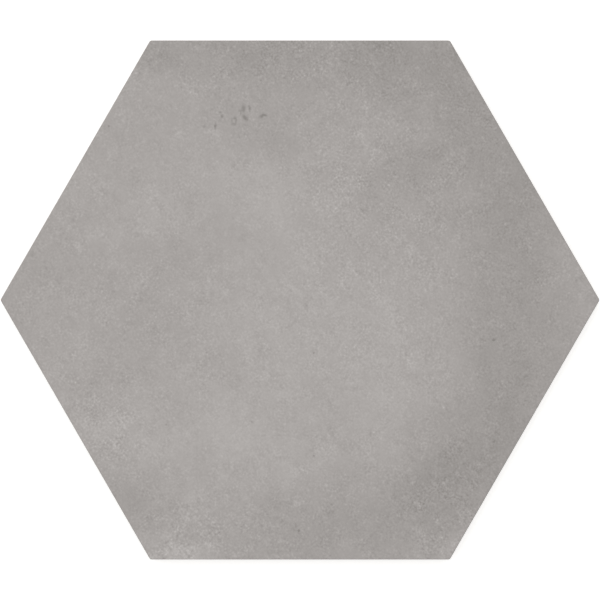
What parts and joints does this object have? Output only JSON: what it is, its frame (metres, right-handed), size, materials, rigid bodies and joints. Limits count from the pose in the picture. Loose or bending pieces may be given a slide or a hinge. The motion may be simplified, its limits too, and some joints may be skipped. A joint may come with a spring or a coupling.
{
  "type": "hexagon floor tile",
  "caption": "Flat hexagonal floor tile of matt, concrete-look porcelain, with upright sides above an inward-leaning skirt and a keyed honeycomb back for adhesive.",
  "frame": {"origin": "centre of the back, in the plane of its ribs and border, which is the plane the tile lies on", "axes": "+Z out of the wearing face, +X through two opposite corners, +Y square to two opposite sides"},
  "size_m": [0.2492, 0.216, 0.0095],
  "materials": {
    "porcelain": "matte"
  },
  "bodies": {
    "root": {"hexagon_tile": "porcelain"}
  },
  "joints": []
}
